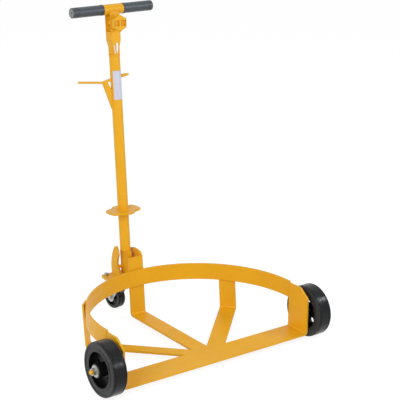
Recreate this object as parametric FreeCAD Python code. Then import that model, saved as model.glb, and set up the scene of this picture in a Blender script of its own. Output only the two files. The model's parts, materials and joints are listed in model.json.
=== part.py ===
"""A drum trolley: a low D-shaped frame on two wheels and a swivel castor, with a tilting pole handle.

Lengths are in millimetres and +Z is up. The pieces are laid out about the centre of the ring that holds the
drum, with the floor at Z = 0, X along the front bar and +Y towards the handle. Each piece is then moved along
Y so that the origin lies on the floor under the middle of the whole trolley. The handle is drawn upright about
its own pole and leaned back into place. The castor is drawn straight and then turned to where it stands.
"""
import FreeCAD, Part
import math
import os

from FreeCAD import Vector

os.makedirs("parts", exist_ok=True)

# Flat bar frame
bar_thickness = 6.0
floor_gap = 16.0            # underside of the front bar over the floor
half_width = 319.0          # outside of a leg, and outside radius of the ring
front_bar_width = 82.5
front_bar_back = 17.65      # back edge of the front bar, in front of the ring's centre
bend_radius = 5.0           # inside of every bend
ring_bottom = 110.0
ring_height = 50.0
leg_below_ring = 5.0        # top of a leg under the ring's top edge
leg_chamfer_length = 34.0
leg_chamfer_height = 25.5
upright_lean = 4.63         # degrees outwards, alike for the spokes' uprights and the pole
right_spoke_width = 50.0
left_spoke_width = 38.0
side_spoke_inset = 19.0     # inner edge of a side spoke from a parallel line through the ring's centre
side_spoke_angle = 45.8     # degrees from the front bar
side_spoke_skew = 3.5       # degrees that a side upright leans along the ring
side_spoke_below_ring = 13.0
middle_spoke_width = 50.0
middle_spoke_above_ring = 38.0

# Main wheels
wheel_radius = 76.2
wheel_forward = 64.5        # axle in front of the ring's centre
tread_width = 43.5
tread_side_gap = 11.0       # between a leg and the tread
tread_shoulder = 4.5        # rounding of the tread's edges
tread_groove_inset = 6.5
tread_groove_depth = 1.2
tread_groove_width = 1.8
sidewall_depth = 1.2        # dished ring in each side of the tyre
sidewall_inset = 4.5
tyre_inner_radius = 53.0
rim_thickness = 3.5
web_thickness = 6.0
web_hole_radius = 8.0
web_hole_circle = 31.0
web_hole_count = 5
web_hole_turn = 234.0       # degrees round the axle to the first hole
hub_radius = 19.5
hub_length = 54.0
bush_radius = 10.0
axle_radius = 6.35
axle_stand = 6.0            # tip of an axle beyond its nut
axle_chamfer = 1.5
axle_spacer_radius = 12.5
axle_spacer_length = 8.0
washer_radius = 17.0
washer_thickness = 3.0
axle_nut_flats = 19.0
axle_nut_height = 10.0

# Castor under the handle
castor_behind_upright = 80.5    # swivel axis behind the middle upright
castor_turn = 6.0           # degrees that the castor stands turned
castor_trail = 35.0
castor_wheel_radius = 37.5
castor_tread_width = 26.0
castor_tread_shoulder = 4.0
castor_tyre_inner_radius = 27.0
castor_hub_radius = 11.0
castor_hub_length = 28.0
castor_web_thickness = 12.0
castor_bush_radius = 6.5
castor_axle_radius = 4.0
castor_head_width = 13.0    # across the flats of the castor's hexagons
castor_head_height = 5.5
castor_nut_height = 6.5
castor_fork_thickness = 3.0
castor_fork_boss = 15.0
castor_fork_reach = 22.0    # half length of a fork side where it leaves the crown
castor_crown_radius = 30.0
castor_crown_thickness = 5.0
castor_rim_width = 2.5
castor_rim_height = 6.0
castor_plate_margin = 9.0   # castor's plate beyond its bolts
castor_plate_thickness = 4.0
castor_plate_corner = 6.0
castor_ball_radius = 3.9
castor_ball_circle = 21.0
castor_ball_count = 12
kingpin_radius = 6.0
kingpin_head_radius = 11.0
kingpin_head_height = 6.0
bolt_radius = 4.0
bolt_spacing_x = 78.0
bolt_spacing_y = 50.0

# Plate that carries the castor and the handle's bracket
mount_plate_side_margin = 16.0
mount_plate_back_margin = 11.5
mount_plate_corner = 14.0

# Bracket and hinge of the handle
ear_thickness = 6.0
ear_spread = 56.0           # over the outsides of the two ears
ear_height = 101.0          # over the mount plate
ear_reach = 32.0            # behind the pin
hinge_pin_radius = 5.0
hinge_pin_stand = 2.0       # each end of the pin stands out of its ear
pin_above_plate = 37.3
pin_behind_pole = 10.0
tongue_thickness = 16.0
tongue_front = 21.0         # ahead of the pole's axis
tongue_back = 18.0          # behind the pole's axis
tongue_below_pin = 24.6
tongue_above_pin = 50.4
tongue_corner = 8.0
heel_height = 8.0

# Pole handle
pole_behind_upright = 48.8  # pole's axis behind the middle upright
pole_radius = 15.9
pole_wall = 2.5
pole_length = 590.0
spigot_length = 35.0
cap_thickness = 4.0
step_plate_above_tongue = 121.0
step_plate_thickness = 6.0
step_plate_half_width = 53.7
step_plate_half_depth = 54.0
step_plate_corner = 3.0
hook_thickness = 6.0
hook_below_top = 65.0       # top of the hook under the top of the tube
hook_reach = 126.5          # tip from the pole's axis
hook_root_height = 90.0     # height of the hook's gusset on the pole
hook_arm_depth = 6.2
hook_hole_corner = 3.0
stub_reach = 44.5
stub_root_depth = 13.6
stub_tip_depth = 5.5
stub_tip_corner = 2.4
stub_above_hook = 9.0
label_below_top = 128.0
label_length = 85.0
label_wrap = 124.0          # degrees round the front of the pole
label_thickness = 0.3
label_glue = 0.05

# Head of the handle
strap_thickness = 3.0
strap_half_width = 15.5
strap_foot_half_width = 10.0
strap_spread = 30.0         # over the outsides of the two straps
neck_height = 42.0          # from the tube's cap to the block
neck_taper_height = 20.0
block_height = 25.0
shank_above_pole = 97.0
shank_radius = 10.0
shank_back = 2.0            # shank stands out behind the rear strap
socket_flats = 43.0
socket_thickness = 13.0
socket_front = 43.0         # front face of the socket ahead of the pole's axis
socket_chamfer = 1.5
socket_turn = 30.0          # degrees, so that a corner points up
pocket_depth = 6.0
pocket_height = 16.0
pocket_width = 17.5
pocket_web = 4.8
grip_bar_above_pole = 135.0
grip_bar_radius = 11.1
grip_bar_wall = 2.0
grip_bar_half_length = 132.0
sleeve_radius = 15.0
sleeve_half_length = 33.0
grip_radius = 15.0
grip_collar_radius = 15.7
grip_collar_length = 6.0
grip_end_thickness = 3.0
grip_edge = 1.6
grip_groove_inset = 8.0     # first groove from the end of a grip
grip_groove_pitch = 4.5
grip_groove_width = 1.5
grip_groove_depth = 0.6
grip_groove_count = 3
plug_radius = 12.6
plug_hole_radius = 3.0
plug_length = 14.0
plug_hole_depth = 9.0
plug_sink = 0.6             # face of a plug behind the end of its grip

# Fits
running_clearance = 0.05    # round a shaft that turns in its bore
side_clearance = 0.15       # beside a face that moves past another
rest_clearance = 0.3        # where the handle leans on its stop
overrun = 20.0              # how far a cut runs past what it cuts

# Outlines as shares of the sizes that they follow
step_plate_half_shares = [(-0.09, 1.0), (-0.74, 0.65), (-0.96, 0.61), (-1.0, 0.06),
                          (-0.92, -0.37), (-0.67, -0.54), (-0.43, -0.59), (-0.20, -0.85)]
hook_root_share = 0.36      # of the reach, where the arm leaves the gusset
hook_sag_share = 0.05       # of the reach, how far the arm's root lies below the hook's top
hook_tip_share = 0.03       # of the reach, how far the arm's tip lies above the hook's top
hook_foot_share = 0.15      # of the reach, the gusset's lower corner
hook_hole_shares = [(0.241, 0.10), (0.0, 0.084), (0.0, 0.727)]
left_slit_shares = [(-0.70, 0.75), (-0.37, 0.65), (-0.08, 0.08), (-0.34, 0.08)]
right_slit_shares = [(0.19, 0.88), (0.50, 0.75), (0.38, 0.31), (0.22, 0.06), (0.04, 0.06), (-0.02, 0.31),
                     (-0.01, 0.75)]
left_ear_shares = [(-0.69, 0.0), (-0.64, 0.06), (-0.52, 0.16), (-0.39, 0.26), (-0.30, 0.34), (-0.22, 0.40),
                   (-0.09, 0.465), (-0.05, 0.535), (-0.09, 0.61), (-0.23, 0.73), (-0.14, 0.91), (0.05, 0.99),
                   (0.27, 1.0), (0.48, 0.94), (0.67, 0.83), (0.89, 0.61), (0.98, 0.42), (0.95, 0.24), (0.77, 0.0)]
right_ear_front_shares = [(-0.80, 0.88), (-0.60, 0.92), (-0.36, 0.936), (-0.12, 0.92)]
right_ear_back_shares = [(0.23, 0.86), (0.64, 0.73), (0.89, 0.535), (0.98, 0.34), (0.92, 0.14), (0.77, 0.0)]

# Places that follow from the sizes above
lean = math.radians(upright_lean)
bar_bottom = floor_gap
bar_top = floor_gap + bar_thickness
ring_top = ring_bottom + ring_height
ring_inner_radius = half_width - bar_thickness
leg_top = ring_top - leg_below_ring
leg_back = -front_bar_back
leg_front = leg_back - front_bar_width
side_spoke_top = ring_top - side_spoke_below_ring
middle_spoke_top = ring_top + middle_spoke_above_ring
axle_height = wheel_radius
axle_y = -wheel_forward
tread_inside = half_width + tread_side_gap
tread_outside = tread_inside + tread_width
tread_middle = (tread_inside + tread_outside) / 2
hub_inside = half_width + axle_spacer_length + side_clearance
hub_outside = hub_inside + hub_length
washer_inside = hub_outside + side_clearance
nut_inside = washer_inside + washer_thickness
nut_outside = nut_inside + axle_nut_height
axle_end = nut_outside + axle_stand
mount_plate_bottom = ring_bottom
mount_plate_top = ring_bottom + bar_thickness
upright_back = half_width + bar_thickness / math.cos(lean)
castor_behind = upright_back + castor_behind_upright
castor_axle_y = castor_behind + castor_trail
castor_axle_height = castor_wheel_radius
castor_plate_bottom = mount_plate_bottom - castor_plate_thickness
castor_crown_top = castor_plate_bottom - 2 * castor_ball_radius - 2 * side_clearance
castor_crown_bottom = castor_crown_top - castor_crown_thickness
fork_inside = castor_hub_length / 2 + side_clearance
fork_outside = fork_inside + castor_fork_thickness
mount_plate_half = bolt_spacing_x / 2 + mount_plate_side_margin
mount_plate_back = castor_behind + bolt_spacing_y / 2 + mount_plate_back_margin
pole_foot = upright_back - ring_bottom * math.tan(lean) + pole_behind_upright / math.cos(lean)
pin_z = mount_plate_top + pin_above_plate
pin_height = (pin_z + pin_behind_pole * math.sin(lean)) / math.cos(lean)
pin_y = pole_foot + pin_behind_pole * math.cos(lean) + pin_height * math.sin(lean)
ear_outside = ear_spread / 2
ear_inside = ear_outside - ear_thickness
tongue_bottom = pin_height - tongue_below_pin
pole_bottom = pin_height + tongue_above_pin
pole_top = pole_bottom + pole_length
step_plate_bottom = pole_bottom + step_plate_above_tongue
hook_top = pole_top - hook_below_top
label_bottom = pole_top - label_below_top
neck_bottom = pole_top + cap_thickness
block_bottom = neck_bottom + neck_height
shank_height = pole_top + shank_above_pole
grip_bar_height = pole_top + grip_bar_above_pole
strap_outside = strap_spread / 2
strap_inside = strap_outside - strap_thickness
socket_back = socket_front - socket_thickness
grip_end = grip_bar_half_length + grip_end_thickness
front_reach = wheel_forward + wheel_radius
castor_swing = math.radians(abs(castor_turn))
rear_reach = (castor_behind + castor_trail * math.cos(castor_swing) + castor_tread_shoulder
              + (castor_wheel_radius - castor_tread_shoulder) * math.cos(castor_swing)
              + (castor_tread_width / 2 - castor_tread_shoulder) * math.sin(castor_swing))
origin_shift = (front_reach - rear_reach) / 2


def save(name, shape):
    """Move a finished piece to the trolley's origin and write it."""
    moved = shape.copy()
    moved.translate(Vector(0, origin_shift, 0))
    moved.exportStep("parts/" + name + ".step")


def on_pole(shape):
    """Lean a piece that was drawn upright about the pole's axis, and set it on the pole's foot."""
    leaned = shape.copy()
    leaned.rotate(Vector(0, 0, 0), Vector(1, 0, 0), -upright_lean)
    leaned.translate(Vector(0, pole_foot, 0))
    return leaned


def swivelled(shape):
    """Turn a piece of the castor that was drawn straight behind its swivel axis."""
    turned_shape = shape.copy()
    turned_shape.rotate(Vector(0, castor_behind, 0), Vector(0, 0, 1), castor_turn)
    return turned_shape


def block(x, y, z):
    """Box between pairs of low and high coordinates."""
    return Part.makeBox(x[1] - x[0], y[1] - y[0], z[1] - z[0], Vector(x[0], y[0], z[0]))


def rod(radius, start, end):
    """Round bar between two points."""
    along = end - start
    return Part.makeCylinder(radius, along.Length, start, along)


def along_x(radius, low, high, y, z):
    return rod(radius, Vector(low, y, z), Vector(high, y, z))


def along_z(radius, low, high, x, y):
    return rod(radius, Vector(x, y, low), Vector(x, y, high))


def drawn_out(corners, along):
    """Flat outline with straight sides, drawn out along a vector."""
    return Part.Face(Part.makePolygon(corners + corners[:1])).extrude(along)


def prism_x(points, low, high):
    """Outline of (y, z) points drawn out along X."""
    return drawn_out([Vector(low, y, z) for y, z in points], Vector(high - low, 0, 0))


def prism_y(points, low, high):
    """Outline of (x, z) points drawn out along Y."""
    return drawn_out([Vector(x, low, z) for x, z in points], Vector(0, high - low, 0))


def prism_z(points, low, high):
    """Outline of (x, y) points drawn out along Z."""
    return drawn_out([Vector(x, y, low) for x, y in points], Vector(0, 0, high - low))


def smooth_plate_x(curved, straight, low, high):
    """Plate between two X places: a smooth curve through (y, z) points, closed by straight lines."""
    curve = Part.BSplineCurve()
    curve.interpolate([Vector(low, y, z) for y, z in curved])
    corners = [Vector(low, y, z) for y, z in curved[-1:] + straight + curved[:1]]
    lines = [Part.LineSegment(start, end).toShape() for start, end in zip(corners, corners[1:])]
    return Part.Face(Part.Wire([curve.toShape()] + lines)).extrude(Vector(high - low, 0, 0))


def hexagon_rod(flats, start, end, turn=0.0):
    """Six-sided bar between two points, turned about its own axis by degrees."""
    along = end - start
    radius = flats / math.sqrt(3)
    angles = [math.radians(360 * k / 6 + turn) for k in range(6)]
    bar = drawn_out([Vector(radius * math.cos(a), radius * math.sin(a), 0) for a in angles],
                    Vector(0, 0, along.Length))
    bar.Placement = FreeCAD.Placement(start, FreeCAD.Rotation(Vector(0, 0, 1), along))
    return bar


def turned(points, y, z):
    """Ring turned about a line along X: points are (x, radius)."""
    corners = [Vector(x, y, z + radius) for x, radius in points]
    face = Part.Face(Part.makePolygon(corners + corners[:1]))
    return face.revolve(Vector(0, y, z), Vector(1, 0, 0), 360)


def edges_along(shape, direction, keep=None):
    """Straight edges that run in a direction, and that the keep test lets through."""
    found = []
    for edge in shape.Edges:
        if edge.Curve.TypeId != "Part::GeomLine":
            continue
        if edge.tangentAt(edge.FirstParameter).cross(direction).Length < 1e-6:
            if keep is None or keep(edge.CenterOfMass):
                found.append(edge)
    return found


def round_edges(shape, keep=None):
    """Round edges of a turned piece, and that the keep test lets through."""
    circles = [edge for edge in shape.Edges if edge.Curve.TypeId == "Part::GeomCircle"]
    return [edge for edge in circles if keep is None or keep(edge.CenterOfMass)]


def mirrored(shape):
    return shape.mirror(Vector(0, 0, 0), Vector(1, 0, 0))


def on_side(shape, side):
    """A piece drawn on the right, or its mirror image on the left."""
    return shape if side > 0 else mirrored(shape)


def upright_back_at(height):
    """Rear face of the middle upright, which leans back."""
    return upright_back + (height - ring_bottom) * math.tan(lean)


def front_crossbar():
    """Flat bar along the floor with both ends bent up into legs, bored for the axles."""
    outer = block((-half_width, half_width), (leg_front, leg_back), (bar_bottom, leg_top))
    low_outer = edges_along(outer, Vector(0, 1, 0), lambda c: c.z < bar_top)
    outer = outer.makeFillet(bend_radius + bar_thickness, low_outer)
    inner = block((bar_thickness - half_width, half_width - bar_thickness),
                  (leg_front - overrun, leg_back + overrun), (bar_top, leg_top + overrun))
    low_inner = edges_along(inner, Vector(0, 1, 0), lambda c: c.z < bar_top + bend_radius)
    bar = outer.cut(inner.makeFillet(bend_radius, low_inner))
    corner = [(leg_front, leg_top - leg_chamfer_height), (leg_front + leg_chamfer_length, leg_top),
              (leg_front, leg_top)]
    bar = bar.cut(prism_x(corner, -half_width, half_width))
    return bar.cut(along_x(axle_radius, -half_width - overrun, half_width + overrun, axle_y, axle_height))


def ring_band():
    """Flat bar on edge, rolled round the back of the drum and butted against the legs."""
    band = along_z(half_width, ring_bottom, ring_top, 0, 0)
    band = band.cut(along_z(ring_inner_radius, ring_bottom - overrun, ring_top + overrun, 0, 0))
    room = half_width + overrun
    return band.common(block((-room, room), (leg_back, room), (ring_bottom, ring_top)))


def spoke(bearing, touch, low, high, top, skew):
    """Flat bar outwards at a bearing, bent up so that it touches the ring's lower edge at a distance.

    It is drawn along +X between two offsets across it, and the upright leans out and, by the skew, sideways.
    """
    normal = Vector(math.cos(lean), 0, -math.sin(lean))
    up = Vector(math.sin(lean), 0, math.cos(lean))
    down = Vector(0, 0, -1)
    slant = normal + down
    slant.normalize()
    inner, outer = bend_radius, bend_radius + bar_thickness
    bend_height = bar_top + bend_radius
    bend_start = touch - (inner + (ring_bottom - bend_height) * math.sin(lean)) / math.cos(lean)
    centre = Vector(bend_start, low, bend_height)
    outer_arc = Part.Arc(centre + down * outer, centre + slant * outer, centre + normal * outer)
    inner_arc = Part.Arc(centre + normal * inner, centre + slant * inner, centre + down * inner)
    edges = [outer_arc.toShape(), Part.LineSegment(centre + normal * outer, centre + normal * inner).toShape(),
             inner_arc.toShape(), Part.LineSegment(centre + down * inner, centre + down * outer).toShape()]
    across = Vector(0, high - low, 0)
    bend = Part.Face(Part.Wire(edges)).extrude(across)
    foot = centre + normal * inner
    length = (top - foot.z) / math.cos(lean)
    climb = up * length + Vector(0, length * math.tan(skew), 0)
    upright = drawn_out([foot, foot + across, foot + across + climb, foot + climb], normal * bar_thickness)
    flat = block((-half_width, bend_start), (low, high), (bar_bottom, bar_top))
    whole = flat.fuse(bend).fuse(upright).removeSplitter()
    whole.rotate(Vector(0, 0, 0), Vector(0, 0, 1), bearing)
    return whole


def behind_front_bar(shape, left_edge):
    """What lies of a spoke behind the front bar and to the right of an edge."""
    room = 2 * half_width
    return shape.common(block((left_edge, room), (leg_back, room), (0, room)))


def middle_spoke():
    """Flat bar from the front bar straight back, bent up outside the ring into the handle's front plate."""
    half = middle_spoke_width / 2
    return behind_front_bar(spoke(90.0, half_width, -half, half, middle_spoke_top, 0), -half_width)


def side_spoke(side, width):
    """Flat bar that leaves the front bar at an angle and is bent up against the outside of the ring."""
    skew = math.radians(side_spoke_skew)
    climb = (ring_bottom - bar_top - bend_radius * (1 - math.sin(lean))) / math.cos(lean)
    touch_offset = side_spoke_inset - climb * math.tan(skew)
    touch = math.sqrt(half_width ** 2 - touch_offset ** 2)
    bar = spoke(side_spoke_angle, touch, -side_spoke_inset - width, -side_spoke_inset, side_spoke_top, skew)
    return on_side(behind_front_bar(bar, middle_spoke_width / 2), side)


def bolt_places():
    """The four bolts that hold the castor."""
    return [(sx * bolt_spacing_x / 2, castor_behind + sy * bolt_spacing_y / 2)
            for sx in (-1, 1) for sy in (-1, 1)]


def mount_plate():
    """Plate behind the middle upright, level with the ring's lower edge, bored for the castor's bolts."""
    section = [(upright_back_at(mount_plate_bottom), mount_plate_bottom), (mount_plate_back, mount_plate_bottom),
               (mount_plate_back, mount_plate_top), (upright_back_at(mount_plate_top), mount_plate_top)]
    plate = prism_x(section, -mount_plate_half, mount_plate_half)
    back_corners = edges_along(plate, Vector(0, 0, 1), lambda c: c.y > castor_behind)
    plate = plate.makeFillet(mount_plate_corner, back_corners)
    for x, y in bolt_places():
        plate = plate.cut(along_z(bolt_radius, mount_plate_bottom - overrun, mount_plate_top + overrun, x, y))
    return plate


def ear_points(shares, reach):
    """Points of an ear's outline, from shares of a reach from the pin and of the ear's height."""
    return [(pin_y + along * reach, mount_plate_top + up * ear_height) for along, up in shares]


def ear_bore(shape):
    return shape.cut(along_x(hinge_pin_radius, -ear_outside - overrun, ear_outside + overrun, pin_y, pin_z))


def left_ear():
    """Leaf-shaped upright plate on the left of the handle's foot."""
    return ear_bore(smooth_plate_x(ear_points(left_ear_shares, ear_reach), [], -ear_outside, -ear_inside))


def right_ear():
    """Upright plate on the right that runs forward to the middle upright."""
    corner = (upright_back_at(mount_plate_top), mount_plate_top)
    start = (upright_back_at(middle_spoke_top), middle_spoke_top)
    front = ear_points(right_ear_front_shares, pin_y - corner[0])
    back = ear_points(right_ear_back_shares, ear_reach)
    return ear_bore(smooth_plate_x([start] + front + back, [corner], ear_inside, ear_outside))


def hinge_pin():
    """Pin through both ears and the handle's tongue."""
    end = ear_outside + hinge_pin_stand
    pin = along_x(hinge_pin_radius, -end, end, pin_y, pin_z)
    return pin.makeChamfer(hinge_pin_stand / 2, round_edges(pin))


def axle(side):
    """Threaded stub axle plugged into a leg."""
    bar = along_x(axle_radius, half_width - bar_thickness, axle_end, axle_y, axle_height)
    tip = round_edges(bar, lambda c: c.x > hub_outside)
    return on_side(bar.makeChamfer(axle_chamfer, tip), side)


def on_both_axles(radius, low, high):
    """The same round collar on both axles."""
    collar = along_x(radius, low, high, axle_y, axle_height)
    collar = collar.cut(along_x(axle_radius, low - overrun, high + overrun, axle_y, axle_height))
    return Part.makeCompound([mirrored(collar), collar])


def axle_nuts():
    """Nuts on the axle ends."""
    nut = hexagon_rod(axle_nut_flats, Vector(nut_inside, axle_y, axle_height),
                      Vector(nut_outside, axle_y, axle_height))
    nut = nut.cut(along_x(axle_radius, nut_inside - overrun, nut_outside + overrun, axle_y, axle_height))
    return Part.makeCompound([mirrored(nut), nut])


def wheel_groove(x, radius):
    """Rectangle between pairs of X places and radii, turned about the right axle."""
    corners = [(x[0], radius[0]), (x[1], radius[0]), (x[1], radius[1]), (x[0], radius[1])]
    return turned(corners, axle_y, axle_height)


def tyre(side):
    """Rubber tread with a fine groove by each shoulder and a dished ring in each side."""
    ring = along_x(wheel_radius, tread_inside, tread_outside, axle_y, axle_height)
    ring = ring.makeFillet(tread_shoulder, round_edges(ring))
    bore = (tread_inside - overrun, tread_outside + overrun)
    ring = ring.cut(along_x(tyre_inner_radius, bore[0], bore[1], axle_y, axle_height))
    half_groove = tread_groove_width / 2
    for groove in (tread_inside + tread_groove_inset, tread_outside - tread_groove_inset):
        ring = ring.cut(wheel_groove((groove - half_groove, groove + half_groove),
                                     (wheel_radius - tread_groove_depth, wheel_radius + overrun)))
    dish = (tyre_inner_radius + sidewall_inset, wheel_radius - sidewall_inset - tread_shoulder)
    ring = ring.cut(wheel_groove((tread_inside - overrun, tread_inside + sidewall_depth), dish))
    ring = ring.cut(wheel_groove((tread_outside - sidewall_depth, tread_outside + overrun), dish))
    return on_side(ring, side)


def wheel_core(side):
    """Moulded wheel centre: rim, web with round holes, and hub."""
    inner = tyre_inner_radius - rim_thickness
    low_web, high_web = tread_middle - web_thickness / 2, tread_middle + web_thickness / 2
    half_section = [(hub_inside, bush_radius), (hub_outside, bush_radius), (hub_outside, hub_radius),
                    (high_web, hub_radius), (high_web, inner), (tread_outside, inner),
                    (tread_outside, tyre_inner_radius), (tread_inside, tyre_inner_radius), (tread_inside, inner),
                    (low_web, inner), (low_web, hub_radius), (hub_inside, hub_radius)]
    core = turned(half_section, axle_y, axle_height)
    for k in range(web_hole_count):
        turn = 2 * math.pi * k / web_hole_count + math.radians(web_hole_turn)
        y = axle_y + web_hole_circle * math.cos(turn)
        z = axle_height + web_hole_circle * math.sin(turn)
        core = core.cut(along_x(web_hole_radius, low_web - overrun, high_web + overrun, y, z))
    return on_side(core, side)


def wheel_bush(side):
    """Bearing sleeve between hub and axle."""
    sleeve = along_x(bush_radius, hub_inside, hub_outside, axle_y, axle_height)
    bore = axle_radius + running_clearance
    sleeve = sleeve.cut(along_x(bore, hub_inside - overrun, hub_outside + overrun, axle_y, axle_height))
    return on_side(sleeve, side)


def castor_plate():
    """Castor's own top plate, under the mount plate."""
    half_x = bolt_spacing_x / 2 + castor_plate_margin
    half_y = bolt_spacing_y / 2 + castor_plate_margin
    plate = block((-half_x, half_x), (castor_behind - half_y, castor_behind + half_y),
                  (castor_plate_bottom, mount_plate_bottom))
    plate = plate.makeFillet(castor_plate_corner, edges_along(plate, Vector(0, 0, 1)))
    for x, y in bolt_places() + [(0, castor_behind)]:
        radius = bolt_radius if x else kingpin_radius
        plate = plate.cut(along_z(radius, castor_plate_bottom - overrun, mount_plate_bottom + overrun, x, y))
    return plate


def kingpin():
    """Headed pin that the castor's fork turns on."""
    head_top = castor_crown_bottom - side_clearance
    pin = along_z(kingpin_radius, head_top, mount_plate_bottom, 0, castor_behind)
    head = along_z(kingpin_head_radius, head_top - kingpin_head_height, head_top, 0, castor_behind)
    return pin.fuse(head).removeSplitter()


def swivel_balls():
    """Bearing balls between the top plate and the fork's crown."""
    height = (castor_plate_bottom + castor_crown_top) / 2
    balls = []
    for k in range(castor_ball_count):
        turn = 2 * math.pi * k / castor_ball_count
        x, y = castor_ball_circle * math.cos(turn), castor_behind + castor_ball_circle * math.sin(turn)
        balls.append(Part.makeSphere(castor_ball_radius, Vector(x, y, height)))
    return Part.makeCompound(balls)


def castor_bolts():
    """Bolts up through the castor's plate and the mount plate, heads underneath."""
    top = mount_plate_top + castor_nut_height + axle_chamfer
    bolts = []
    for x, y in bolt_places():
        shank = along_z(bolt_radius, castor_plate_bottom, top, x, y)
        head = hexagon_rod(castor_head_width, Vector(x, y, castor_plate_bottom - castor_head_height),
                           Vector(x, y, castor_plate_bottom))
        bolts.append(shank.fuse(head).removeSplitter())
    return Part.makeCompound(bolts)


def castor_nuts():
    """Nuts on top of the mount plate."""
    nuts = []
    for x, y in bolt_places():
        nut = hexagon_rod(castor_head_width, Vector(x, y, mount_plate_top),
                          Vector(x, y, mount_plate_top + castor_nut_height))
        nuts.append(nut.cut(along_z(bolt_radius, mount_plate_top - overrun, mount_plate_top + overrun, x, y)))
    return Part.makeCompound(nuts)


def castor_fork():
    """Crown with a raised rim round the balls, and two sides down to the castor's axle."""
    crown = along_z(castor_crown_radius, castor_crown_bottom, castor_crown_top, 0, castor_behind)
    rim = along_z(castor_crown_radius, castor_crown_top, castor_crown_top + castor_rim_height, 0, castor_behind)
    rim = rim.cut(along_z(castor_crown_radius - castor_rim_width, castor_crown_bottom, castor_plate_bottom,
                          0, castor_behind))
    fork = crown.fuse(rim)
    for low, high in ((-fork_outside, -fork_inside), (fork_inside, fork_outside)):
        points = [(castor_behind - castor_fork_reach, castor_crown_top),
                  (castor_behind + castor_fork_reach, castor_crown_top),
                  (castor_axle_y + castor_fork_boss, castor_axle_height),
                  (castor_axle_y - castor_fork_boss, castor_axle_height)]
        wall = prism_x(points, low, high)
        wall = wall.fuse(along_x(castor_fork_boss, low, high, castor_axle_y, castor_axle_height))
        fork = fork.fuse(wall)
    fork = fork.cut(along_x(castor_axle_radius, -fork_outside - overrun, fork_outside + overrun,
                            castor_axle_y, castor_axle_height))
    bore = kingpin_radius + running_clearance
    fork = fork.cut(along_z(bore, castor_crown_bottom - overrun, castor_crown_top + overrun, 0, castor_behind))
    return swivelled(fork.removeSplitter())


def castor_axle():
    """Bolt across the fork."""
    end = fork_outside + castor_nut_height + axle_chamfer
    shank = along_x(castor_axle_radius, -fork_outside, end, castor_axle_y, castor_axle_height)
    head = hexagon_rod(castor_head_width,
                       Vector(-fork_outside - castor_head_height, castor_axle_y, castor_axle_height),
                       Vector(-fork_outside, castor_axle_y, castor_axle_height))
    return swivelled(shank.fuse(head).removeSplitter())


def castor_axle_nut():
    nut = hexagon_rod(castor_head_width, Vector(fork_outside, castor_axle_y, castor_axle_height),
                      Vector(fork_outside + castor_nut_height, castor_axle_y, castor_axle_height))
    return swivelled(nut.cut(along_x(castor_axle_radius, fork_outside - overrun, fork_outside + overrun,
                                     castor_axle_y, castor_axle_height)))


def castor_tyre():
    """Rubber tread of the castor."""
    half = castor_tread_width / 2
    ring = along_x(castor_wheel_radius, -half, half, castor_axle_y, castor_axle_height)
    ring = ring.makeFillet(castor_tread_shoulder, round_edges(ring))
    return swivelled(ring.cut(along_x(castor_tyre_inner_radius, -half - overrun, half + overrun,
                                      castor_axle_y, castor_axle_height)))


def castor_core():
    """Moulded centre of the castor's wheel."""
    half_hub = castor_hub_length / 2 - side_clearance
    half_web = castor_web_thickness / 2
    points = [(-half_hub, castor_bush_radius), (half_hub, castor_bush_radius), (half_hub, castor_hub_radius),
              (half_web, castor_hub_radius), (half_web, castor_tyre_inner_radius),
              (-half_web, castor_tyre_inner_radius), (-half_web, castor_hub_radius),
              (-half_hub, castor_hub_radius)]
    return swivelled(turned(points, castor_axle_y, castor_axle_height))


def castor_bush():
    half = castor_hub_length / 2 - side_clearance
    sleeve = along_x(castor_bush_radius, -half, half, castor_axle_y, castor_axle_height)
    bore = castor_axle_radius + running_clearance
    return swivelled(sleeve.cut(along_x(bore, -half - overrun, half + overrun,
                                        castor_axle_y, castor_axle_height)))


def pole_tube():
    """Round tube of the handle."""
    tube = along_z(pole_radius, pole_bottom, pole_top, 0, 0)
    return on_pole(tube.cut(along_z(pole_radius - pole_wall, pole_bottom - overrun, pole_top + overrun, 0, 0)))


def pole_tongue():
    """Flat foot of the pole: a spigot in the tube, the hinge bore, and a heel that leans on the upright."""
    half = tongue_thickness / 2
    plate = block((-half, half), (-tongue_front, tongue_back), (tongue_bottom, pole_bottom))
    low = edges_along(plate, Vector(1, 0, 0), lambda c: c.z < pin_height)
    plate = plate.makeFillet(tongue_corner, low)
    plate = plate.fuse(along_z(pole_radius - pole_wall, pole_bottom, pole_bottom + spigot_length, 0, 0))
    heel = block((-half, half), (rest_clearance - pole_behind_upright, 0), (pin_height - heel_height, pin_height))
    tongue = plate.fuse(heel).removeSplitter()
    bore = hinge_pin_radius + running_clearance
    return on_pole(tongue.cut(along_x(bore, -half - overrun, half + overrun, pin_behind_pole, pin_height)))


def pole_cap():
    """Disc that closes the top of the tube and carries the head."""
    return on_pole(along_z(pole_radius, pole_top, neck_bottom, 0, 0))


def step_plate():
    """Notched plate round the pole, the same turned half way round."""
    half = [(x * step_plate_half_width, -front * step_plate_half_depth) for x, front in step_plate_half_shares]
    outline = half + [(-x, -y) for x, y in half]
    top = step_plate_bottom + step_plate_thickness
    plate = prism_z(outline, step_plate_bottom, top)
    plate = plate.makeFillet(step_plate_corner, edges_along(plate, Vector(0, 0, 1)))
    return on_pole(plate.cut(along_z(pole_radius, step_plate_bottom - overrun, top + overrun, 0, 0)))


def outside_pole(plate):
    """Cut a flat plate back to the outside of the tube."""
    return plate.cut(along_z(pole_radius, pole_bottom, pole_top, 0, 0))


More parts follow.
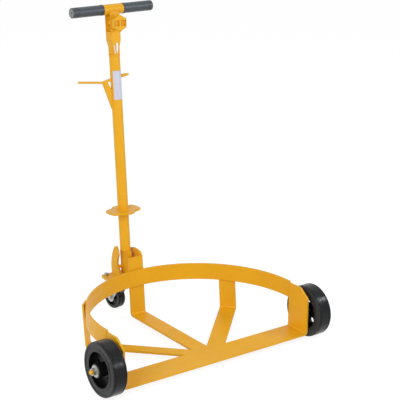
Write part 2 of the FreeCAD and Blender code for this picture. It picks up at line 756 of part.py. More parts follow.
def hook_plate():
    """Gusset on the pole's left with a three-cornered hole next to the tube and a long thin arm."""
    root_x, root_top = -hook_root_share * hook_reach, hook_top - hook_sag_share * hook_reach
    tip_x, tip_top = -hook_reach, hook_top + hook_tip_share * hook_reach
    foot_x, foot_z = -hook_foot_share * hook_reach, hook_top - hook_root_height
    points = [(0, hook_top), (foot_x, hook_top), (root_x, root_top), (tip_x, tip_top),
              (tip_x, tip_top - hook_arm_depth), (root_x, root_top - hook_arm_depth), (foot_x, foot_z), (0, foot_z)]
    half = hook_thickness / 2
    plate = prism_y(points, -half, half)
    hole_points = [(-x * hook_reach, hook_top - down * hook_root_height) for x, down in hook_hole_shares]
    hole = prism_y(hole_points, -half - overrun, half + overrun)
    outer_corner = edges_along(hole, Vector(0, 1, 0), lambda c: c.x < foot_x)
    hole = hole.makeFillet(hook_hole_corner, outer_corner)
    return on_pole(outside_pole(plate.cut(hole)))


def hook_stub():
    """Short tapered stub on the pole's right, opposite the hook."""
    top = hook_top + stub_above_hook
    points = [(0, top), (stub_reach, top), (stub_reach, top - stub_tip_depth), (0, top - stub_root_depth)]
    half = hook_thickness / 2
    stub = prism_y(points, -half, half)
    tip = edges_along(stub, Vector(0, 1, 0), lambda c: c.x > pole_radius)
    return on_pole(outside_pole(stub.makeFillet(stub_tip_corner, tip)))


def label():
    """Plain sticker round the front of the pole."""
    outer = Part.makeCylinder(pole_radius + label_glue + label_thickness, label_length,
                              Vector(0, 0, label_bottom), Vector(0, 0, 1), label_wrap)
    inner = along_z(pole_radius + label_glue, label_bottom - overrun, label_bottom + label_length + overrun, 0, 0)
    sticker = outer.cut(inner)
    sticker.rotate(Vector(0, 0, 0), Vector(0, 0, 1), -90 - label_wrap / 2)
    return on_pole(sticker)


def strap_openings(strap):
    """Cut a strap for the socket's shank and the cross sleeve."""
    shank_room = rod(shank_radius, Vector(0, -socket_front, shank_height), Vector(0, socket_front, shank_height))
    sleeve_room = along_x(sleeve_radius, -sleeve_half_length, sleeve_half_length, 0, grip_bar_height)
    return strap.cut(shank_room).cut(sleeve_room)


def neck_edge():
    """Right edge of the head from the cap up to the block, as (x, z) points."""
    return [(strap_foot_half_width, neck_bottom), (strap_foot_half_width, block_bottom - neck_taper_height),
            (strap_half_width, block_bottom)]


def head_front_strap():
    """Flat strap in front, from the pole's cap to the cross sleeve, with two slits in its neck."""
    right = neck_edge() + [(strap_half_width, grip_bar_height)]
    strap = prism_y(right + [(-x, z) for x, z in reversed(right)], -strap_outside, -strap_inside)
    for shares in (left_slit_shares, right_slit_shares):
        slit = [(x * strap_half_width, neck_bottom + up * neck_height) for x, up in shares]
        strap = strap.cut(prism_y(slit, -strap_outside - overrun, -strap_inside + overrun))
    return on_pole(strap_openings(strap))


def head_rear_strap():
    """Flat strap behind, from the foot of the block to the cross sleeve."""
    strap = block((-strap_half_width, strap_half_width), (strap_inside, strap_outside),
                  (block_bottom, grip_bar_height))
    return on_pole(strap_openings(strap))


def head_side_plate():
    """Left side of the neck, behind the front strap."""
    outside = [(-x, z) for x, z in neck_edge()]
    inside = [(x + strap_thickness, z) for x, z in reversed(outside)]
    return on_pole(prism_y(outside + inside, -strap_inside, strap_outside))


def head_block():
    """Solid block between the straps."""
    return on_pole(block((-strap_half_width, strap_half_width), (-strap_inside, strap_inside),
                         (block_bottom, block_bottom + block_height)))


def socket_shank():
    """Round bar through both straps that carries the bung socket."""
    back = strap_outside + shank_back
    return on_pole(rod(shank_radius, Vector(0, back, shank_height), Vector(0, -socket_back, shank_height)))


def bung_socket():
    """Six-sided head with two pockets for the bars of a drum plug."""
    head = hexagon_rod(socket_flats, Vector(0, -socket_back, shank_height), Vector(0, -socket_front, shank_height),
                       socket_turn)
    rim = [edge for edge in head.Edges if abs(edge.CenterOfMass.y + socket_front) < 1e-6]
    head = head.makeChamfer(socket_chamfer, rim)
    for side in (-1, 1):
        low, high = sorted((side * pocket_web / 2, side * (pocket_web / 2 + pocket_width)))
        head = head.cut(block((low, high), (-socket_front - overrun, pocket_depth - socket_front),
                              (shank_height - pocket_height / 2, shank_height + pocket_height / 2)))
    return on_pole(head)


def cross_sleeve():
    """Thick sleeve on top of the straps that holds the cross bar."""
    sleeve = along_x(sleeve_radius, -sleeve_half_length, sleeve_half_length, 0, grip_bar_height)
    room = sleeve_half_length + overrun
    return on_pole(sleeve.cut(along_x(grip_bar_radius, -room, room, 0, grip_bar_height)))


def grip_bar():
    """Cross bar inside the sleeve and both grips."""
    bar = along_x(grip_bar_radius, -grip_bar_half_length, grip_bar_half_length, 0, grip_bar_height)
    room = grip_bar_half_length + overrun
    return on_pole(bar.cut(along_x(grip_bar_radius - grip_bar_wall, -room, room, 0, grip_bar_height)))


def grip(side):
    """Rubber grip over one end of the cross bar: a collar by the sleeve, grooves by the end and an open end."""
    sleeve = along_x(grip_radius, sleeve_half_length, grip_end, 0, grip_bar_height)
    sleeve = sleeve.makeFillet(grip_edge, round_edges(sleeve, lambda c: c.x > grip_bar_half_length))
    collar = along_x(grip_collar_radius, sleeve_half_length, sleeve_half_length + grip_collar_length,
                     0, grip_bar_height)
    sleeve = sleeve.fuse(collar)
    room = (sleeve_half_length - overrun, grip_end + overrun)
    sleeve = sleeve.cut(along_x(grip_bar_radius, room[0], grip_bar_half_length, 0, grip_bar_height))
    sleeve = sleeve.cut(along_x(plug_radius, grip_bar_half_length, room[1], 0, grip_bar_height))
    for k in range(grip_groove_count):
        groove = grip_end - grip_groove_inset - k * grip_groove_pitch
        outside, inside = grip_radius + overrun, grip_radius - grip_groove_depth
        corners = [(groove - grip_groove_width, outside), (groove, outside), (groove, inside),
                   (groove - grip_groove_width, inside)]
        sleeve = sleeve.cut(turned(corners, 0, grip_bar_height))
    return on_pole(on_side(sleeve, side))


def grip_plugs():
    """Plugs in the ends of the cross bar, seen through the openings of the grips."""
    face = grip_end - plug_sink
    plug = along_x(grip_bar_radius - grip_bar_wall, grip_bar_half_length - plug_length, grip_bar_half_length,
                   0, grip_bar_height)
    plug = plug.fuse(along_x(plug_radius, grip_bar_half_length, face, 0, grip_bar_height)).removeSplitter()
    plug = plug.cut(along_x(plug_hole_radius, face - plug_hole_depth, face + overrun, 0, grip_bar_height))
    return on_pole(Part.makeCompound([mirrored(plug), plug]))


save("front_crossbar", front_crossbar())
save("ring_band", ring_band())
save("middle_spoke", middle_spoke())
save("left_spoke", side_spoke(-1, left_spoke_width))
save("right_spoke", side_spoke(1, right_spoke_width))
save("mount_plate", mount_plate())
save("left_ear", left_ear())
save("right_ear", right_ear())
save("hinge_pin", hinge_pin())
save("axle_spacers", on_both_axles(axle_spacer_radius, half_width, half_width + axle_spacer_length))
save("axle_washers", on_both_axles(washer_radius, washer_inside, nut_inside))
save("axle_nuts", axle_nuts())
for hand, direction in (("left", -1), ("right", 1)):
    save(hand + "_axle", axle(direction))
    save(hand + "_tyre", tyre(direction))
    save(hand + "_wheel_core", wheel_core(direction))
    save(hand + "_wheel_bush", wheel_bush(direction))
    save(hand + "_grip", grip(direction))
save("castor_plate", castor_plate())
save("castor_kingpin", kingpin())
save("castor_balls", swivel_balls())
save("castor_bolts", castor_bolts())
save("castor_nuts", castor_nuts())
save("castor_fork", castor_fork())
save("castor_axle", castor_axle())
save("castor_axle_nut", castor_axle_nut())
save("castor_tyre", castor_tyre())
save("castor_wheel_core", castor_core())
save("castor_wheel_bush", castor_bush())
save("pole_tube", pole_tube())
save("pole_tongue", pole_tongue())
save("pole_cap", pole_cap())
save("step_plate", step_plate())
save("hook_plate", hook_plate())
save("hook_stub", hook_stub())
save("label", label())
save("head_front_strap", head_front_strap())
save("head_rear_strap", head_rear_strap())
save("head_side_plate", head_side_plate())
save("head_block", head_block())
save("socket_shank", socket_shank())
save("bung_socket", bung_socket())
save("cross_sleeve", cross_sleeve())
save("grip_bar", grip_bar())
save("grip_plugs", grip_plugs())
print("origin shift %.3f, hinge pin at y %.3f z %.3f" % (origin_shift, pin_y + origin_shift, pin_z))
print("castor axis y %.3f, wheel axle y %.3f" % (castor_behind + origin_shift, axle_y + origin_shift))
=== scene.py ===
"""Looks of the drum trolley: paint, zinc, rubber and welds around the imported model. Lengths are in metres."""
import json
import math

import bmesh
import bpy
from mathutils import Euler, Matrix, Vector


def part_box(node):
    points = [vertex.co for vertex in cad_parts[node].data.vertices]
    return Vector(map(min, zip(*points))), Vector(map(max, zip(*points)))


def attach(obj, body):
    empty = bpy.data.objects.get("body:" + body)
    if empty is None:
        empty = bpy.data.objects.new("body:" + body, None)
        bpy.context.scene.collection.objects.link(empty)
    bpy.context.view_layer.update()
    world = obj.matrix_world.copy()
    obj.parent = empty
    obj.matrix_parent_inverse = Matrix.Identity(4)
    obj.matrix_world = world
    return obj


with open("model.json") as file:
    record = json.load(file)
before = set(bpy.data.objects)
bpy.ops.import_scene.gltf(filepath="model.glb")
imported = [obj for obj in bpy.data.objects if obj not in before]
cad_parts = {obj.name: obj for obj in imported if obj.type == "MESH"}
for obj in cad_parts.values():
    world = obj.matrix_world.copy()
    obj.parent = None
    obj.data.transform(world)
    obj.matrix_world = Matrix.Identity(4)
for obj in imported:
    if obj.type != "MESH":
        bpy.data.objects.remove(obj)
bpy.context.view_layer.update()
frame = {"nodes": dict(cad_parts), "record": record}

# Camera, as the photograph was taken
camera_offset = Vector((-1.97979, -2.71363, 1.52209))  # from the floor under the ring's middle
camera_heading = math.radians(-36.11)
camera_pitch = math.radians(17.52)
camera_roll = math.radians(0.39)
camera_lens = 115.70        # in millimetres, as is the sensor's width
camera_sensor = 36.0

# Colours as they look on a screen, from 0 to 255
yellow_colour = (238, 175, 22)
yellow_deep_colour = (230, 165, 16)
yellow_worn_colour = (208, 140, 14)
zinc_colour = (190, 190, 185)
steel_colour = (120, 120, 120)
tyre_colour = (9, 10, 12)
tyre_dust_colour = (22, 23, 26)
tyre_wall_colour = (52, 52, 53)
core_colour = (10, 10, 12)
core_dust_colour = (20, 21, 23)
grip_colour = (38, 48, 55)
grip_dust_colour = (56, 68, 77)
label_colour = (208, 208, 222)
label_shade_colour = (196, 197, 212)
plug_colour = (132, 136, 142)
plug_shade_colour = (108, 112, 118)

# Curve from a screen's colours to light (sRGB)
screen_white = 255
toe_end_share = 0.04045     # of white, up to which the curve is straight
toe_slope = 12.92
curve_offset = 0.055
curve_power = 2.4

# Noise and rounded edges in all materials
noise_detail = 3.0
noise_roughness = 0.55
noise_range = (0.3, 0.7)    # where most of a noise's values lie
full_range = (0.0, 1.0)
bevel_samples = 4
edge_range = (0.99, 0.80)   # how far the rounded surface agrees with the flat one, from a face to an edge

# Powder coat
paint_shine = 0.3
paint_cloud_scale = 9.0
paint_cloud_detail = 4.0
paint_cloud_range = (0.0, 0.55)
paint_wear_width = 0.0016
paint_wear_scale = 60.0
paint_wear_noise_range = (0.35, 0.65)
paint_wear_range = (0.1, 0.55)
paint_gloss_scale = 35.0
paint_roughness_range = (0.34, 0.48)
paint_peel_scale = 520.0
paint_peel_detail = 2.0
paint_peel_strength = 0.12
paint_peel_depth = 0.0006
paint_edge_radius = 0.0012

# Zinc and bare steel
metal_cloud_scale = 45.0
metal_cloud_detail = 4.0
metal_cloud_range = (0.0, 0.35)
metal_dark_share = 0.7      # of the colour on the screen, in the darker clouds
metal_gloss_scale = 120.0
metal_grain_detail = 2.0
metal_grain_strength = 0.1
metal_grain_depth = 0.0004
metal_edge_radius = 0.0005
zinc_finish = {"roughness_range": (0.28, 0.45), "grain_scale": 700.0}
steel_finish = {"roughness_range": (0.35, 0.55), "grain_scale": 500.0}

# Rubber and plastic
dust_scale = 28.0
dust_detail = 5.0
dust_noise_range = (0.35, 0.75)
dust_range = (0.0, 0.5)
dull_gloss_scale = 70.0
dull_grain_strength = 0.25
dull_edge_radius = 0.0010
core_finish = {"roughness_range": (0.32, 0.45), "grain_scale": 700.0, "grain_depth": 0.0004, "shine": 0.25}
grip_finish = {"roughness_range": (0.30, 0.40), "grain_scale": 1100.0, "grain_depth": 0.0003, "shine": 0.7}
label_finish = {"roughness_range": (0.3, 0.4), "grain_scale": 300.0, "grain_depth": 0.0002, "shine": 0.5}
plug_finish = {"roughness_range": (0.4, 0.5), "grain_scale": 600.0, "grain_depth": 0.0003, "shine": 0.5}

# Tyres
tyre_shine = 0.22
tyre_wall_range = (0.6, 0.9)    # how far a face looks along the axle, from the tread to a side wall
tyre_wall_dullness = 0.18       # added to the roughness on the side walls
tyre_roughness_range = (0.14, 0.34)
streak_scale = 240.0
streak_stretch_share = 0.04     # fineness of the streaks round the tyre, beside that across it
streak_depth = 0.002

# Studio, with the lamps' power in watts
floor_size = 14.0
floor_grey = 0.8
floor_roughness = 0.9
floor_glow = 1.24           # strength of the white that the camera sees mixed with the floor's shade
floor_shade_share = 0.30    # of the floor's own light and shadow in that mix
world_light = 0.5
white_light = (1, 1, 1)
cool_light = (0.86, 0.93, 1.0)
lamp_target = (0, 0, 0.4)
lamps = (
    {"name": "key", "place": (-2.9, -1.5, 1.8), "size": 2.2, "power": 54, "colour": white_light},
    {"name": "top", "place": (0.6, 0.8, 3.4), "size": 2.0, "power": 7, "colour": white_light},
    {"name": "low_side", "place": (0.85, -2.25, 1.1), "size": 0.6, "power": 9, "colour": cool_light},
    {"name": "high_side", "place": (1.9, -1.35, 1.75), "size": 0.6, "power": 16, "colour": cool_light},
)

# Weld beads
bead_radius = 0.0022
bead_radius_small = 0.0016
bead_pitch = 0.0042         # between the ripples of a weld
bead_step = 0.0009
bead_sides = 10
bead_swell_share = 0.11     # how much a weld's ripples swell it
bead_tip_share = 0.2        # of a step, added at an open end so that it isn't a mere point
circle_count = 72
ear_weld_share = 0.86       # of an ear's depth, along which it is welded

# Sizes that the frame doesn't give
pole_lean = math.radians(4.63)
bar_thickness = 0.006
side_spoke_bearing = math.radians(45.8)
side_spoke_skew = math.radians(3.5)
side_spoke_inset = 0.019
side_spoke_widths = {"left": 0.038, "right": 0.050}
cap_thickness = 0.004
hook_thickness = 0.006
hook_root_height = 0.0897
hook_upper_weld = 0.007
hook_lower_weld = 0.024
stub_above_hook = 0.009
stub_weld = 0.012

# Places by the pole: heights over the floor on its axis, then distances from its axis
hook_top = 0.7276
neck_bottom = 0.7964
shank_height = 0.8891
sleeve_weld_height = 0.9250
strap_face = 0.015
strap_foot = 0.010
socket_back = 0.030


def corners(node):
    """Lowest and highest corner of a node as vectors."""
    low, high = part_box(node)
    return Vector(low), Vector(high)


def centre(node):
    """Middle of a node's box."""
    low, high = corners(node)
    return (low + high) / 2


# Places that follow from the frame
ring_low, ring_high = corners("ring_band")
ring_radius = ring_high.x
ring_centre_y = ring_high.y - ring_radius
bar_low, bar_high = corners("front_crossbar")
bar_back = bar_high.y
bar_deck = bar_low.z + bar_thickness
upright_half = corners("middle_spoke")[1].x
upright_top = corners("middle_spoke")[1].z
pole_up = Vector((0, math.sin(pole_lean), math.cos(pole_lean)))
pole_front = Vector((0, -math.cos(pole_lean), math.sin(pole_lean)))
pole_right = Vector((1, 0, 0))
pole_middle = centre("pole_tube")
pole_radius = corners("pole_tube")[1].x


def linear(colour):
    """Screen colour to the light values that the shaders take."""
    values = []
    for channel in colour:
        share = channel / screen_white
        if share <= toe_end_share:
            values.append(share / toe_slope)
        else:
            values.append(((share + curve_offset) / (1 + curve_offset)) ** curve_power)
    return (*values, 1.0)


class Nodes:
    """Short ways to add and join the nodes of a material or of the world."""

    def __init__(self, owner):
        owner.use_nodes = True
        self.tree = owner.node_tree

    def fill(self, node, inputs):
        """Join outputs to a node's inputs, or set constants on them."""
        for name, value in inputs.items():
            if isinstance(value, bpy.types.NodeSocket):
                self.tree.links.new(value, node.inputs[name])
            else:
                node.inputs[name].default_value = value

    def add(self, kind, inputs, **settings):
        """A new node with its inputs and settings."""
        node = self.tree.nodes.new(kind)
        for name, value in settings.items():
            setattr(node, name, value)
        self.fill(node, inputs)
        return node

    def arithmetic(self, operation, first, second):
        """One step of arithmetic with two values."""
        return self.add("ShaderNodeMath", {0: first, 1: second}, operation=operation).outputs[0]

    def mix_shaders(self, share, first, second):
        """First shader with a share of the second."""
        return self.add("ShaderNodeMixShader", {0: share, 1: first, 2: second}).outputs[0]

    def background_share(self):
        """1 for rays from the camera, mirrors and glass, which see the white background."""
        path = self.add("ShaderNodeLightPath", {})
        share = path.outputs["Is Camera Ray"]
        for name in ("Is Glossy Ray", "Is Transmission Ray"):
            share = self.arithmetic("MAXIMUM", share, path.outputs[name])
        return share


class Look(Nodes):
    """A new material, with the patterns and the relief that its shader takes."""

    def __init__(self, name):
        self.material = bpy.data.materials.new(name)
        super().__init__(self.material)
        self.shader = self.tree.nodes["Principled BSDF"]
        coordinates = self.add("ShaderNodeTexCoord", {})
        self.place = coordinates.outputs["Object"]
        self.facing = coordinates.outputs["Normal"]

    def noise(self, scale, detail=noise_detail, place=None):
        """Noise over the surface, or over places that were stretched before."""
        place = place or self.place
        inputs = {"Vector": place, "Scale": scale, "Detail": detail, "Roughness": noise_roughness}
        return self.add("ShaderNodeTexNoise", inputs).outputs["Fac"]

    def span(self, value, start, end):
        """A value moved from one range to another."""
        names = ("Value", "From Min", "From Max", "To Min", "To Max")
        inputs = dict(zip(names, (value, *start, *end)))
        return self.add("ShaderNodeMapRange", inputs).outputs["Result"]

    def mix(self, share, first, second):
        """First colour with a share of the second."""
        node = self.add("ShaderNodeMix", {"Factor": share}, data_type="RGBA")
        places = [number for number, socket in enumerate(node.inputs) if socket.type == "RGBA"]
        self.fill(node, dict(zip(places, (first, second))))
        return next(socket for socket in node.outputs if socket.type == "RGBA")

    def dusted(self, clean, dusty):
        """Clean colour with a little dust in clouds."""
        cloud = self.span(self.noise(dust_scale, dust_detail), dust_noise_range, dust_range)
        return self.mix(cloud, linear(clean), linear(dusty))

    def rounded(self, radius):
        """Direction of the surface as if its edges were rounded."""
        return self.add("ShaderNodeBevel", {"Radius": radius}, samples=bevel_samples).outputs["Normal"]

    def edge_share(self, radius):
        """1 on sharp edges and 0 on flat faces, from how a small rounding would turn the surface."""
        flat = self.add("ShaderNodeNewGeometry", {}).outputs["Normal"]
        inputs = {0: self.rounded(radius), 1: flat}
        agreement = self.add("ShaderNodeVectorMath", inputs, operation="DOT_PRODUCT").outputs["Value"]
        return self.span(agreement, edge_range, full_range)

    def bump(self, height, strength, depth, edge_radius):
        """Fine relief on a surface with rounded edges."""
        rounded = self.rounded(edge_radius)
        inputs = {"Height": height, "Strength": strength, "Distance": depth, "Normal": rounded}
        return self.add("ShaderNodeBump", inputs).outputs["Normal"]


def yellow_paint():
    """Powder coat: slight orange peel, uneven thickness, and thinner coat along the edges."""
    look = Look("yellow_powder_coat")
    cloud = look.span(look.noise(paint_cloud_scale, paint_cloud_detail), noise_range, paint_cloud_range)
    tint = look.mix(cloud, linear(yellow_colour), linear(yellow_deep_colour))
    patches = look.span(look.noise(paint_wear_scale), paint_wear_noise_range, paint_wear_range)
    worn = look.arithmetic("MULTIPLY", look.edge_share(paint_wear_width), patches)
    peel = look.noise(paint_peel_scale, paint_peel_detail)
    look.fill(look.shader, {
        "Base Color": look.mix(worn, tint, linear(yellow_worn_colour)),
        "Roughness": look.span(look.noise(paint_gloss_scale), noise_range, paint_roughness_range),
        "Specular IOR Level": paint_shine,
        "Normal": look.bump(peel, paint_peel_strength, paint_peel_depth, paint_edge_radius),
    })
    return look.material


def metal(name, colour, roughness_range, grain_scale):
    """Plain metal: darker clouds, uneven gloss and a fine grain."""
    look = Look(name)
    cloud = look.span(look.noise(metal_cloud_scale, metal_cloud_detail), noise_range, metal_cloud_range)
    darker = tuple(channel * metal_dark_share for channel in colour)
    grain = look.noise(grain_scale, metal_grain_detail)
    look.fill(look.shader, {
        "Base Color": look.mix(cloud, linear(colour), linear(darker)),
        "Metallic": 1.0,
        "Roughness": look.span(look.noise(metal_gloss_scale), noise_range, roughness_range),
        "Normal": look.bump(grain, metal_grain_strength, metal_grain_depth, metal_edge_radius),
    })
    return look.material


def dull(name, clean, dusty, roughness_range, grain_scale, grain_depth, shine):
    """Rubber and moulded plastic: fine grain, with a little dust in the colour."""
    look = Look(name)
    grain = look.noise(grain_scale)
    look.fill(look.shader, {
        "Base Color": look.dusted(clean, dusty),
        "Roughness": look.span(look.noise(dull_gloss_scale), noise_range, roughness_range),
        "Specular IOR Level": shine,
        "Normal": look.bump(grain, dull_grain_strength, grain_depth, dull_edge_radius),
    })
    return look.material


def tyre_rubber():
    """Solid rubber tyre: a dark tread with fine streaks round it, and duller, lighter side walls."""
    look = Look("tyre_rubber")
    facing = look.add("ShaderNodeSeparateXYZ", {0: look.facing})
    axial = look.arithmetic("ABSOLUTE", facing.outputs["X"], 0)
    wall = look.span(axial, tyre_wall_range, full_range)
    stretch = (1, streak_stretch_share, streak_stretch_share)
    drawn = look.add("ShaderNodeMapping", {"Vector": look.place, "Scale": stretch})
    streaks = look.noise(streak_scale, place=drawn.outputs["Vector"])
    smooth = look.span(streaks, noise_range, tyre_roughness_range)
    duller = look.arithmetic("MULTIPLY", wall, tyre_wall_dullness)
    tread = look.dusted(tyre_colour, tyre_dust_colour)
    look.fill(look.shader, {
        "Base Color": look.mix(wall, tread, linear(tyre_wall_colour)),
        "Roughness": look.arithmetic("ADD", smooth, duller),
        "Specular IOR Level": tyre_shine,
        "Normal": look.bump(streaks, dull_grain_strength, streak_depth, dull_edge_radius),
    })
    return look.material


# Materials by the record's slots
looks = {
    "yellow_paint": yellow_paint(),
    "zinc_plate": metal("zinc_plating", zinc_colour, **zinc_finish),
    "bare_steel": metal("bare_steel", steel_colour, **steel_finish),
    "tyre_rubber": tyre_rubber(),
    "black_core": dull("black_core", core_colour, core_dust_colour, **core_finish),
    "grip_rubber": dull("grip_rubber", grip_colour, grip_dust_colour, **grip_finish),
    "label_film": dull("label_film", label_colour, label_shade_colour, **label_finish),
    "plug_plastic": dull("plug_plastic", plug_colour, plug_shade_colour, **plug_finish),
}


def dress_nodes():
    """Give every CAD node the material of its slot."""
    for entry in frame["record"]["subparts"]:
        mesh = frame["nodes"][entry["node"]].data
        mesh.materials.clear()
        mesh.materials.append(looks[entry["material_slot"]])


def add_piece(name, mesh_data, body, slot):
    """Finish a mesh built in code as a piece that rides on a body."""
    mesh = bpy.data.meshes.new(name)
    mesh_data.normal_update()
    mesh_data.to_mesh(mesh)
    mesh_data.free()
    mesh.polygons.foreach_set("use_smooth", [True] * len(mesh.polygons))
    mesh.materials.append(looks[slot])
    piece = bpy.data.objects.new(name, mesh)
    bpy.context.scene.collection.objects.link(piece)
    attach(piece, body)


def evenly(path, step, closed):
    """Points at even steps along straight runs between the path's points."""
    stops = path + path[:1] if closed else path
    points = []
    for start, end in zip(stops, stops[1:]):
        count = max(1, round((end - start).length / step))
        points += [start.lerp(end, number / count) for number in range(count)]
    return points if closed else points + [stops[-1]]


def bead_rings(mesh, points, radius, closed):
    """Rings round a weld's points, swollen by its ripples and drawn in at open ends."""
    last = len(points) - 1
    rings = []
    for number, point in enumerate(points):
        before = points[number - 1] if number or closed else point
        after = points[(number + 1) % len(points)] if number < last or closed else point
        along = (after - before).normalized()
        side = along.orthogonal().normalized()
        swell = 1 + bead_swell_share * math.sin(2 * math.pi * number * bead_step / bead_pitch)
        to_end = (min(number, last - number) + bead_tip_share) * bead_step
        end_share = 1.0 if closed else min(1.0, math.sqrt(to_end / radius))
        ring = []
        for turn in range(bead_sides):
            around = Matrix.Rotation(2 * math.pi * turn / bead_sides, 3, along)
            ring.append(mesh.verts.new(point + around @ side * radius * swell * end_share))
        rings.append(ring)
    return rings


def join_rings(mesh, ring, following):
    """Faces between two rings, the second turned so that its points lie nearest to the first's."""
    shift = min(range(bead_sides), key=lambda turn: (following[turn].co - ring[0].co).length)
    turned = following[shift:] + following[:shift]
    for turn in range(bead_sides):
        after = (turn + 1) % bead_sides
        mesh.faces.new((ring[turn], ring[after], turned[after], turned[turn]))


def add_bead(name, body, path, radius=bead_radius, closed=False):
    """Weld bead: a rippled tube along a path, narrow at open ends."""
    mesh = bmesh.new()
    rings = bead_rings(mesh, evenly(path, bead_step, closed), radius, closed)
    for ring, following in zip(rings, rings[1:]):
        join_rings(mesh, ring, following)
    if closed:
        join_rings(mesh, rings[-1], rings[0])
    else:
        mesh.faces.new(list(reversed(rings[0])))
        mesh.faces.new(rings[-1])
    bmesh.ops.recalc_face_normals(mesh, faces=mesh.faces)
    add_piece(name, mesh, body, "yellow_paint")


def run(*points):
    """Path of a weld through points given by their coordinates."""
    return [Vector(point) for point in points]


def circle(middle, axis, radius):
    """Points of a circle about an axis."""
    side = axis.orthogonal().normalized() * radius
    turns = [2 * math.pi * number / circle_count for number in range(circle_count)]
    return [middle + Matrix.Rotation(turn, 3, axis) @ side for turn in turns]


def pole_point(height, right, front):
    """Point by the pole: at a height over the floor on its axis, then to the right and to the front."""
    on_axis = pole_middle + pole_up * ((height - pole_middle.z) / pole_up.z)
    return on_axis + pole_right * right + pole_front * front


def spoke_edge(hand, offset, height):
    """Point on the ring's outside where the edge of a side spoke crosses it."""
    slipped = offset - (height - bar_deck) * math.tan(side_spoke_skew)
    turn = side_spoke_bearing - math.asin(slipped / ring_radius)
    return Vector((hand * ring_radius * math.cos(turn), ring_centre_y + ring_radius * math.sin(turn), height))


def side_welds(hand, name):
    """Welds on one side: front bar to spoke, ring to leg, spoke and upright, and leg to axle spacer."""
    width = side_spoke_widths[name]
    inner = hand * upright_half
    outer = hand * (upright_half + width / math.sin(side_spoke_bearing))
    add_bead("weld_bar_" + name, "frame", run((inner, bar_back, bar_low.z), (outer, bar_back, bar_low.z)))
    leg = hand * ring_radius
    leg_run = run((leg, bar_back, ring_low.z), (leg, bar_back, bar_high.z))
    add_bead("weld_leg_" + name, "frame", leg_run, bead_radius_small)
    spoke_top = corners(name + "_spoke")[1].z
    for offset, edge in ((side_spoke_inset, "inner"), (side_spoke_inset + width, "outer")):
        edge_run = [spoke_edge(hand, offset, height) for height in (ring_low.z, spoke_top)]
        add_bead("weld_spoke_%s_%s" % (name, edge), "frame", edge_run)
    # This bead starts on the ring and rises into the wedge where the upright leans away from it
    ring_y = ring_centre_y + math.sqrt(ring_radius ** 2 - upright_half ** 2)
    wedge_y = ring_y + (ring_high.z - ring_low.z) * math.tan(pole_lean) / 2
    add_bead("weld_upright_" + name, "frame", run((inner, ring_y, ring_low.z), (inner, wedge_y, ring_high.z)))
    axle = centre(name + "_axle")
    spacer_radius = corners("axle_spacers")[1].z - axle.z
    spacer_foot = circle(Vector((leg, axle.y, axle.z)), pole_right, spacer_radius)
    add_bead("weld_axle_" + name, "frame", spacer_foot, bead_radius_small, closed=True)


def frame_welds():
    """Welds between the bars, the ring and the axles."""
    for hand, name in ((-1, "left"), (1, "right")):
        side_welds(hand, name)
    middle_run = run((-upright_half, bar_back, bar_low.z), (upright_half, bar_back, bar_low.z))
    add_bead("weld_bar_middle", "frame", middle_run)


def bracket_welds():
    """Welds of the handle's bracket: both ears and the plate that they stand on."""
    deck = corners("mount_plate")[1].z
    for name, outer in (("left", min), ("right", max)):
        low, high = corners(name + "_ear")
        outside = outer(low.x, high.x)
        end_y = low.y + ear_weld_share * (high.y - low.y)
        add_bead("weld_%s_ear" % name, "frame", run((outside, low.y, deck), (outside, end_y, deck)))
    ear_low, ear_high = corners("right_ear")
    front_y = ear_low.y
    add_bead("weld_plate", "frame", run((-upright_half, front_y, deck), (upright_half, front_y, deck)))
    edge = (upright_half + ear_high.x) / 2
    top_y = front_y + (upright_top - deck) * math.tan(pole_lean)
    front_run = run((edge, front_y, deck), (edge, top_y, upright_top))
    add_bead("weld_ear_front", "frame", front_run, bead_radius_small)


def pole_welds():
    """Welds of the pole's cap and of the plates on the pole."""
    for name, along in (("top", bar_thickness / 2), ("bottom", -bar_thickness / 2)):
        collar = circle(centre("step_plate") + pole_up * along, pole_up, pole_radius)
        add_bead("weld_step_" + name, "handle", collar, closed=True)
    cap_foot = centre("pole_cap") - pole_up * cap_thickness / 2
    cap_collar = circle(cap_foot, pole_up, pole_radius - bead_radius_small / 2)
    add_bead("weld_cap", "handle", cap_collar, bead_radius_small, closed=True)
    face = hook_thickness / 2
    edge = math.sqrt(pole_radius ** 2 - face ** 2)
    hook_foot = hook_top - hook_root_height
    stub_top = hook_top + stub_above_hook
    stretches = (
        ("hook_top", -edge, hook_top, hook_top - hook_upper_weld),
        ("hook_foot", -edge, hook_foot + hook_lower_weld, hook_foot),
        ("stub", edge, stub_top, stub_top - stub_weld),
    )
    for name, right, start, end in stretches:
        for front, side in ((face, "front"), (-face, "back")):
            plate_run = [pole_point(height, right, front) for height in (start, end)]
            add_bead("weld_%s_%s" % (name, side), "handle", plate_run, bead_radius_small)


def head_welds():
    """Welds of the head: straps to cap and cross sleeve, and the socket's shank."""
    strap = corners("head_rear_strap")[1].x
    for front, name in ((strap_face, "front"), (-strap_face, "back")):
        sleeve_run = [pole_point(sleeve_weld_height, right, front) for right in (-strap, strap)]
        add_bead("weld_sleeve_" + name, "handle", sleeve_run)
    corner = pole_point(neck_bottom, -strap_foot, strap_face)
    front_end = pole_point(neck_bottom, strap_foot, strap_face)
    back_end = pole_point(neck_bottom, -strap_foot, -strap_face)
    for name, end in (("strap", front_end), ("side", back_end)):
        add_bead("weld_%s_foot" % name, "handle", [corner, end], bead_radius_small)
    shank_radius = corners("socket_shank")[1].x
    for front, name in ((strap_face, "strap"), (socket_back, "socket")):
        collar = circle(pole_point(shank_height, 0, front), pole_front, shank_radius)
        add_bead("weld_shank_" + name, "handle", collar, bead_radius_small, closed=True)


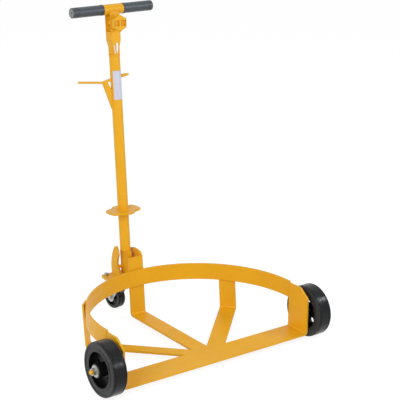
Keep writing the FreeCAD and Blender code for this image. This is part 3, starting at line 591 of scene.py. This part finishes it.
def add_camera():
    """Camera where the photograph was taken from."""
    data = bpy.data.cameras.new("camera")
    data.sensor_width = camera_sensor
    data.lens = camera_lens
    data.clip_end = floor_size * 2
    camera = bpy.data.objects.new("camera", data)
    aim = Euler((math.pi / 2 - camera_pitch, 0, camera_heading)).to_matrix()
    turn = aim @ Matrix.Rotation(camera_roll, 3, "Z")
    place = camera_offset + Vector((0, ring_centre_y, 0))
    camera.matrix_world = Matrix.Translation(place) @ turn.to_4x4()
    bpy.context.scene.collection.objects.link(camera)
    bpy.context.scene.camera = camera


def add_world():
    """Even light from all round, with a white background for what sees it."""
    world = bpy.data.worlds.new("studio")
    bpy.context.scene.world = world
    nodes = Nodes(world)
    light = nodes.tree.nodes["Background"]
    nodes.fill(light, {"Color": (*white_light, 1), "Strength": world_light})
    white = nodes.add("ShaderNodeBackground", {"Color": (*white_light, 1)})
    surface = nodes.mix_shaders(nodes.background_share(), light.outputs[0], white.outputs[0])
    nodes.fill(nodes.tree.nodes["World Output"], {"Surface": surface})


def floor_material():
    """Pale floor that is white to the camera, with a part of its own light and shadow."""
    material = bpy.data.materials.new("floor_white")
    nodes = Nodes(material)
    plain = nodes.tree.nodes["Principled BSDF"]
    colour = (floor_grey, floor_grey, floor_grey, 1)
    nodes.fill(plain, {"Base Color": colour, "Roughness": floor_roughness, "Specular IOR Level": 0})
    glow = nodes.add("ShaderNodeEmission", {"Strength": floor_glow})
    seen = nodes.mix_shaders(floor_shade_share, glow.outputs[0], plain.outputs[0])
    surface = nodes.mix_shaders(nodes.background_share(), plain.outputs[0], seen)
    nodes.fill(nodes.tree.nodes["Material Output"], {"Surface": surface})
    return material


def add_floor():
    """Square floor under the object."""
    half = floor_size / 2
    outline = [(-half, -half, 0), (half, -half, 0), (half, half, 0), (-half, half, 0)]
    mesh = bpy.data.meshes.new("floor")
    mesh.from_pydata(outline, [], [range(len(outline))])
    mesh.materials.append(floor_material())
    floor = bpy.data.objects.new("floor", mesh)
    bpy.context.scene.collection.objects.link(floor)


def add_lamp(name, place, size, power, colour):
    """Round soft lamp that looks at the object."""
    data = bpy.data.lights.new(name, "AREA")
    data.shape = "DISK"
    data.size = size
    data.energy = power
    data.color = colour
    lamp = bpy.data.objects.new(name, data)
    lamp.location = place
    lamp.rotation_euler = (Vector(lamp_target) - Vector(place)).to_track_quat("-Z", "Y").to_euler()
    bpy.context.scene.collection.objects.link(lamp)


def add_studio():
    """World, floor and lamps."""
    add_world()
    add_floor()
    for lamp in lamps:
        add_lamp(**lamp)


dress_nodes()
frame_welds()
bracket_welds()
pole_welds()
head_welds()
add_camera()
add_studio()
bpy.context.scene.view_settings.view_transform = "Standard"
